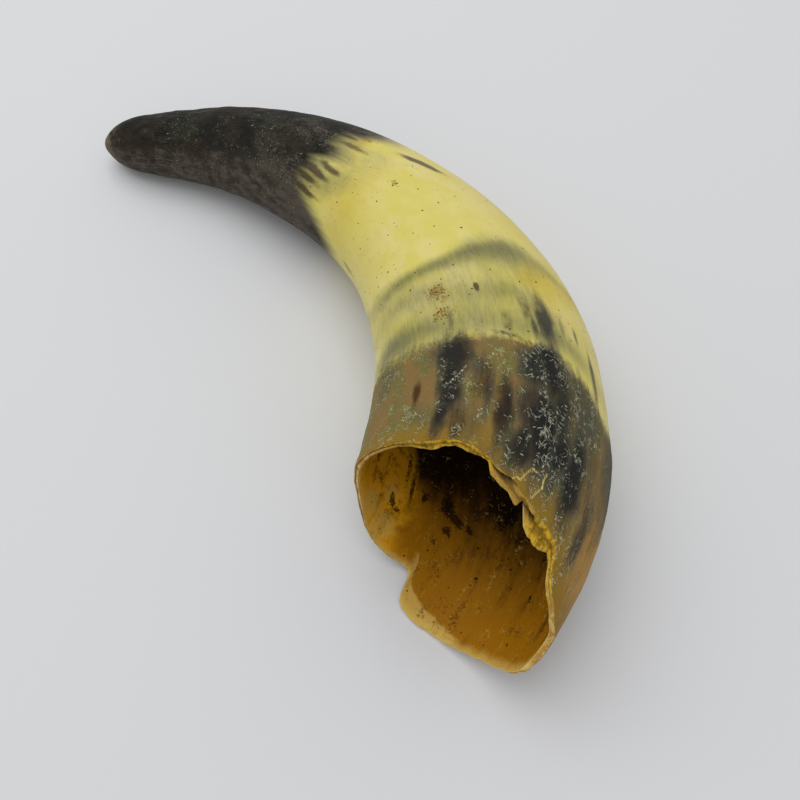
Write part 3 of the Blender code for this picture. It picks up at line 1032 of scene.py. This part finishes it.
class HornPaint(HornNodes):
    """Mixes the horn's colours, zone by zone, and gives it its shine and its fine relief."""

    # A row has the way scratches lie and their cell's length and width. A row of hairs is as hairs takes it.
    scratch_rows: Points = (
        (-0.8, 3.0, 0.34), (1.35, 2.4, 0.36), (2.3, 6.0, 0.32), (2.9, 3.4, 0.34), (-0.3, 2.0, 0.34),
    )
    hair_rows: Points = ((2.4, 0.02, 47.0), (3.6, 0.013, 59.0))

    def __init__(self, tree: bpy.types.NodeTree, finish: HornFinish) -> None:
        """Works out where the zones lie.

        Args:
            tree: The material's node tree.
            finish: The colours.
        """
        super().__init__(tree)
        self.finish = finish
        # The zones' edges are feathered along the fibres. Pigment lies deep, so it blurs.
        self.tip_depth = self.past_tip.sway(self.streaks, 2.5, self.clouds, 6.0, self.fibres, 3.5)
        self.tip = self.tip_depth.step(-4.5, 3.5)
        self.rough = self.past_rough.sway(self.mottle, 3.4, self.fibres, 1.6, self.grit, 1.8).step(-1.3, 1.6)
        self.inside = self.through.step(0.9, 0.99)
        self.mossy = self.stained(self.moss, 0.1, 0.9)

    def stained(self, amount: Value, start: float, end: float) -> Value:
        """A stain's cover, its edge frayed along the fibres."""
        return amount.sway(self.fibres, 0.3, self.mottle, 0.5, self.grit, 0.25).step(start, end)

    def polished(self) -> Value:
        """Mixes the polished middle.

        Returns:
            Pale yellow that clouds into amber, with the grey-green growth bands under the polish, and painted
            shade on the outer side of the bend.
        """
        paint, clouds, mottle = self.finish, self.clouds, self.mottle
        yellow = clouds.step(0.35, 0.7).blend(paint.pale, paint.cream)
        yellow = self.warm.sway(clouds, 1.0, mottle, 0.5).step(0.0, 1.1).blend(yellow, paint.warm)
        yellow = (mottle.sway(clouds, 0.8).step(0.5, 0.8) * 0.12).blend(yellow, paint.warm)
        # Painted shade: the outer side of the bend is painted warmer and darker, for the flank that turns
        # from the light and shows less pale sheen.
        yellow = (self.outward.sway(clouds, 0.5).step(0.2, 0.95) * 0.35).blend(yellow, paint.warm)
        striped = self.grey.sway(self.fine, 0.4, self.fibres, 0.35, mottle, 0.35, clouds, 0.3)
        banded = striped.step(-0.1, 1.3) * self.grey.step(0.02, 0.3)
        band = clouds.sway(mottle, 0.8).step(0.4, 0.65).blend(paint.band, paint.dusk)
        yellow = (banded * 0.95).blend(yellow, band)
        dusk = self.tip_depth.sway(self.fibres, 5.0).step(-13.0, -0.5) * 0.85
        return dusk.blend(yellow, paint.dusk)

    def with_base(self, under: Value) -> Value:
        """Lays the rough base over the middle.

        Args:
            under: The polished middle's colour.

        Returns:
            Brown and olive where it is rough, tan low on the outer side, amber near the break, and stained.
        """
        paint, clouds, mottle, grit = self.finish, self.clouds, self.mottle, self.grit
        near_edge = self.from_edge.sway(mottle, 9.0).step(9.5, 0.5)
        earth = clouds.sway(mottle, 0.7, grit, 0.3).step(0.36, 0.64).blend(paint.base, paint.base_olive)
        warmer = mottle.sway(clouds, 0.7, self.fibres, 0.3).step(0.52, 0.8) * 0.55
        earth = warmer.blend(earth, paint.amber)
        outer_side = self.outward.step(0.62, 0.95) * self.from_edge.sway(mottle, 12.0).step(34.0, 10.0)
        tan = (self.fibres.sway(mottle, 0.9).step(0.35, 0.75) * 0.8).blend(paint.base_tan, paint.base)
        earth = (outer_side * 0.85).blend(earth, tan)
        earth = (near_edge * 0.8).blend(earth, paint.amber)
        outer = self.rough.blend(under, earth)
        moss_colour = clouds.step(0.4, 0.6).blend(paint.moss, paint.slate_blue)
        outer = (self.mossy * self.rough * 0.8).blend(outer, moss_colour)
        outer = (self.stained(self.slate, 0.0, 0.5) * self.rough * 0.5).blend(outer, paint.slate_blue)
        outer = (self.stained(self.brown, 0.13, 0.8) * 0.85).blend(outer, paint.brown)
        outer = (self.stained(self.slate, 0.14, 0.95) * 0.9).blend(outer, paint.slate)
        rust = self.rust.sway(grit, 2.6, mottle, 1.2).step(0.5, 0.8)
        return (rust * 0.8).blend(outer, paint.rust)

    def dark_tip(self) -> Value:
        """Mixes the tip.

        Returns:
            Charcoal pigment, with brown and grey that show through a dull bloom, and a painted grey-brown
            sheen on its sides and belly.
        """
        paint, clouds, mottle, grit = self.finish, self.clouds, self.mottle, self.grit
        patches = self.grained(9.0, 1.5, 4.0, 31.0)
        browner = patches.sway(mottle, 0.5, grit, 0.4).step(0.42, 0.68) * 0.9
        dark = browner.blend(paint.tip, paint.tip_brown)
        dark = (clouds.sway(grit, 0.5, mottle, 0.6).step(0.46, 0.7) * 0.8).blend(dark, paint.tip_olive)
        dark = (grit.sway(mottle, 0.9).step(0.62, 0.8) * 0.3).blend(dark, paint.tip_grey)
        # Painted reflection: the tip's sides and belly, which face the table, are painted lighter grey-brown.
        flank = self.upward.sway(patches, 0.7, mottle, 0.5).step(0.85, 0.3)
        flank_sheen_colour = mottle.sway(grit, 0.8).step(0.3, 0.7).blend(paint.tip_grey, paint.tip_brown)
        dark = (flank * 0.62).blend(dark, flank_sheen_colour)
        early = self.tip_depth.sway(mottle, 30.0).step(34.0, 4.0) * mottle.sway(grit, 0.9).step(0.3, 0.7)
        early_colour = clouds.sway(grit, 0.5).step(0.4, 0.6).blend(paint.tip_olive, paint.tip_grey)
        dark = (early * 0.55).blend(dark, early_colour)
        ahead = self.grain.feed("SeparateXYZ", None, 2, i0=self.grain)
        worn_end = ahead.sway(mottle, 0.016, grit, 0.006).step(0.257, 0.2665)
        return (worn_end * mottle.about(0.5, 0.9)).blend(dark, paint.tip_end)

    def flecks(self) -> Value:
        """Scatters short pale scratches and flakes, dense on the rough base and sparse on the tip.

        Returns:
            The share of each place that they cover.
        """
        clouds, mottle, grit = self.clouds, self.mottle, self.grit
        scratched = self.dashes(0.6, 4.2, 0.34, 0.84)
        for turn, length, width in self.scratch_rows:
            scratched |= self.dashes(turn, length, width, 0.86)
        for size, width, seed in self.hair_rows:
            scratched |= self.hairs(size, width, seed) * 0.6
        scratched |= self.dots(1.6, 0.04, 0.12, 0.9)
        crowd = self.mossy.maths("MULTIPLY_ADD", 0.15, clouds).sway(mottle, 1.6, grit, 0.8).step(0.48, 0.74)
        spare = (self.outward.step(0.7, 0.95) * 0.6).rest()
        on_base = scratched * self.rough * crowd * grit.sway(mottle, 0.8).step(0.25, 0.7) * spare
        tip_crowd = clouds.sway(mottle, 1.2).step(0.4, 0.7) * self.tip_depth.step(-14, 4)
        tip_marks = self.dots(1.5, 0.03, 0.11, 0.75) | self.dashes(0.9, 2.6, 0.45, 0.9) * 0.6
        tip_chips = self.dots(9.0, 0.014, 0.024, 0.72) * self.tip * 0.7
        return on_base | tip_chips | tip_marks * tip_crowd * 0.6

    def outside(self, flecks: Value, specks: Value) -> Value:
        """Puts the outer skin together.

        Args:
            flecks: Where its pale scratches and flakes are.
            specks: Where its small brown specks are.

        Returns:
            The outer skin's colour.
        """
        paint, mottle, grit = self.finish, self.mottle, self.grit
        outer = self.tip.blend(self.with_base(self.polished()), self.dark_tip())
        fleck_colour = mottle.sway(grit, 0.4).step(0.62, 0.72).blend(paint.fleck, paint.fleck_lime)
        outer = (flecks * 0.8).blend(outer, fleck_colour)
        hairline = self.hair.sway(grit, 0.5).step(0.4, 0.1) * grit.step(0.33, 0.47) * 0.75
        hairline_colour = self.from_edge.step(12.0, 18.0).blend(paint.torn_pale, paint.fleck)
        outer = hairline.blend(outer, self.tip.blend(hairline_colour, paint.tip_line))
        crumbs = self.dots(1.2, 0.12, 0.26, 0.6) * self.rust.step(0.2, 0.5)
        speck_colour = (grit.step(0.45, 0.6) * 0.7).blend(paint.brown, paint.rust)
        clear = (self.tip | self.rough * 0.8).rest()
        return ((specks | crumbs) * clear).blend(outer, speck_colour)

    def lining(self, specks: Value) -> Value:
        """Mixes the hollow's lining.

        Args:
            specks: Where its small dark specks are.

        Returns:
            Amber, painted brighter on the inner side of the bend for light that shines through the thin wall,
            with dark smears, and painted shade that goes nearly black further into the hollow.
        """
        paint, clouds, mottle, grit = self.finish, self.clouds, self.mottle, self.grit
        # Painted light: the lining on the inner side of the bend is painted brighter, for light that shines
        # through the thin wall there.
        lit_side = self.outward.step(-0.35, -0.95).sway(mottle, 0.9, clouds, 0.6).step(-0.05, 0.62)
        inner = lit_side.blend(paint.lining, paint.lining_lit_through_wall)
        rusty = clouds.sway(mottle, 1.0, grit, 0.5).step(0.5, 0.8) * 0.5
        inner = rusty.blend(inner, paint.lining_rust)
        inner = (self.fibres.sway(mottle, 0.6).step(0.58, 0.78) * 0.3).blend(inner, paint.torn)
        inner = (self.moss.sway(mottle, 0.5).step(0.1, 0.9) * 0.55).blend(inner, paint.lining_pale)
        # A pale facet lies along the edge, low down, and narrows towards the inner side of the bend.
        floor = self.upward.sway(grit, 0.03).step(-0.92, -0.955)
        narrower = self.outward.maths("MULTIPLY_ADD", 7.0, self.from_edge)
        facet = narrower.sway(mottle, 1.6).step(5.6, 4.2) * floor
        inner = (facet * 0.6).blend(inner, paint.lining_pale)
        smears = self.streaks.sway(mottle, 1.0).step(0.54, 0.8) * 0.35
        inner = smears.blend(inner, paint.lining_rust)
        # Painted shade: the lining is painted nearly black deeper in the hollow, where little light reaches.
        depth = self.past_shade.sway(mottle, 1.5, self.streaks, 1.8).step(-1.3, 1.6) * 0.97
        inner = depth.blend(inner, paint.lining_stain_and_shade)
        clots = self.brown.sway(grit, 2.0, mottle, 0.9).step(0.34, 0.62)
        inner = (clots * 0.85).blend(inner, paint.lining_stain_and_shade)
        inner = (specks * 0.9).blend(inner, paint.lining_stain_and_shade)
        grime = grit.sway(mottle, 0.8, self.fine, 0.4).step(0.54, 0.72) * clouds.step(0.4, 0.6)
        inner = (grime * 0.55).blend(inner, paint.lining_rust)
        flaked = (self.hairs(2.2, 0.03, 71.0) | self.dots(1.5, 0.05, 0.12, 0.88)) * mottle.step(0.45, 0.6)
        inner = (flaked * 0.5).blend(inner, paint.lining_pale)
        lip = self.from_edge.sway(mottle, 3.0, grit, 1.0).step(3.0, 0.3)
        return (lip * 0.6).blend(inner, paint.lining_pale)

    def broken(self) -> Value:
        """Mixes the torn edge.

        Returns:
            Fresh yellow fibres between brown layers at the top, and aged ones elsewhere.
        """
        paint, mottle, grit = self.finish, self.mottle, self.grit
        top_side = self.upward.sway(mottle, 0.4).step(0.35, 0.8)
        fresh = self.fibres.sway(grit, 0.5).step(0.36, 0.58).blend(paint.amber, paint.torn)
        aged = mottle.sway(grit, 0.7).step(0.4, 0.65).blend(paint.base_tan, paint.torn_pale)
        near_top = self.outward.step(0.02, 0.12) * self.outward.step(0.5, 0.4) * 0.75
        fresh = near_top.blend(fresh, paint.torn_tan)
        fresh = top_side.blend(aged, fresh)
        fresh = self.through.sway(mottle, 0.4).step(0.78, 0.98).blend(fresh, paint.torn_pale)
        inner_bend = self.outward.sway(mottle, 0.5).step(-0.3, -0.65)
        through = self.through.sway(mottle, 0.3, grit, 0.15)
        outer_layer = through.step(0.14, 0.22) * through.step(0.46, 0.36)
        inner_layer = through.step(0.78, 0.86) * through.step(1.02, 0.94)
        fresh = ((outer_layer | inner_layer) * inner_bend * 0.85).blend(fresh, paint.layer)
        middle = self.through.sway(mottle, 0.35)
        thin_layer = middle.step(0.3, 0.38) * middle.step(0.52, 0.44)
        return (thin_layer * top_side * 0.6).blend(fresh, paint.brown)

    def cover(self, shader: bpy.types.Node) -> None:
        """Feeds the shader with the whole horn's colour, shine and fine relief.

        Args:
            shader: The material's principled shader.
        """
        paint, clouds, mottle, grit = self.finish, self.clouds, self.mottle, self.grit
        flecks = self.flecks()
        tiny = self.dots(2.2, 0.02, 0.1, 0.7) * clouds.sway(mottle, 1.0).step(0.52, 0.6)
        specks = self.dots(8.0, 0.014, 0.032, 0.3) | tiny
        colour = self.inside.blend(self.outside(flecks, specks), self.lining(specks))
        torn = self.through.step(0.03, 0.12) * self.through.step(1.0, 0.93)
        colour = torn.blend(colour, self.broken())
        # Painted shade: the cracks in the torn wall are painted nearly black, for the shade in their gaps.
        colour = (self.crack_shade * 0.95).blend(colour, paint.lining_stain_and_shade)

        worn = self.rough | self.tip | self.inside
        smooth, coarse = paint.dullness
        gloss = worn.feed("Mix", i0=worn, i2=mottle.about(smooth, 0.15), i3=grit.about(coarse, 0.3))
        shine = worn.feed("Mix", i0=worn, i2=paint.shine[0], i3=paint.shine[1])
        height = self.fine.maths("MULTIPLY_ADD", 0.25, grit * worn.maths("MULTIPLY_ADD", 0.9, 0.1))
        height = flecks.maths("MULTIPLY_ADD", 0.3, height)
        bump = height.feed("Bump", Height=height, Strength=paint.bump_strength, Distance=paint.bump_depth)
        fed = {"Base Color": colour, "Roughness": gloss, "Specular IOR Level": shine, "Normal": bump}
        for name, value in fed.items():
            self.tree.links.new(value.socket, shader.inputs[name])
        shader.inputs["IOR"].default_value = paint.refraction
        shader.inputs["Subsurface Weight"].default_value = paint.glow
        shader.inputs["Subsurface Radius"].default_value = paint.glow_tint
        shader.inputs["Subsurface Scale"].default_value = paint.glow_reach


@dataclass(frozen=True)
class Studio:
    """The table, the soft light and the camera. Lengths are in metres here."""

    table_colour: str = "D9D9DB"
    camera_place: tuple[float, float, float] = (0.029, -0.1442, 0.25)
    camera_tilt: float = 27.5
    lens: float = 36.05
    sensor: float = 36.0
    nearest: float = 0.01
    table_size: float = 6.0
    table_roughness: float = 0.7
    lamp_place: tuple[float, float, float] = (-0.35, 0.5, 1.5)
    lamp_size: float = 1.6
    lamp_power: float = 13.0
    room_colour: str = "F2F4F5"
    room_strength: float = 0.67

    def table(self) -> bpy.types.Object:
        """Makes the pale table top, a little rough.

        Returns:
            The table's object.
        """
        bm = bmesh.new()
        bmesh.ops.create_grid(bm, x_segments=1, y_segments=1, size=self.table_size / 2)
        mesh = bpy.data.meshes.new("table_top")
        bm.to_mesh(mesh)
        bm.free()
        material = bpy.data.materials.new("painted_table")
        material.use_nodes = True
        surface = material.node_tree.nodes["Principled BSDF"]
        surface.inputs["Base Color"].default_value = linear(self.table_colour)
        surface.inputs["Roughness"].default_value = self.table_roughness
        mesh.materials.append(material)
        table = bpy.data.objects.new("table_top", mesh)
        bpy.context.scene.collection.objects.link(table)
        return table

    def light(self) -> None:
        """Hangs one large soft lamp that faces the horn, and lights the table from all round."""
        scene = bpy.context.scene
        light = bpy.data.lights.new("ceiling_light", "AREA")
        light.size, light.energy = self.lamp_size, self.lamp_power
        lamp = bpy.data.objects.new("ceiling_light", light)
        lamp.location = self.lamp_place
        lamp.rotation_euler = (-Vector(self.lamp_place)).to_track_quat("-Z", "Y").to_euler()
        scene.collection.objects.link(lamp)
        scene.world = bpy.data.worlds.new("room")
        scene.world.use_nodes = True
        background = scene.world.node_tree.nodes["Background"]
        background.inputs["Color"].default_value = linear(self.room_colour)
        background.inputs["Strength"].default_value = self.room_strength
        scene.view_settings.view_transform = "Standard"

    def camera(self) -> None:
        """Sets the camera at the height and the tilt that the picture was taken from."""
        data = bpy.data.cameras.new("camera")
        data.lens, data.sensor_width = self.lens, self.sensor
        data.clip_start = self.nearest
        camera = bpy.data.objects.new("camera", data)
        camera.location = self.camera_place
        camera.rotation_euler = (math.radians(self.camera_tilt), 0, 0)
        bpy.context.scene.collection.objects.link(camera)
        bpy.context.scene.camera = camera


def main() -> None:
    """Builds the horn, the table, the lights and the camera."""
    logging.basicConfig(level=logging.INFO, format="%(name)s: %(message)s")
    HornSheath().build(HornFinish())
    studio = Studio()
    studio.table()
    studio.light()
    studio.camera()


if __name__ == "__main__":
    main()
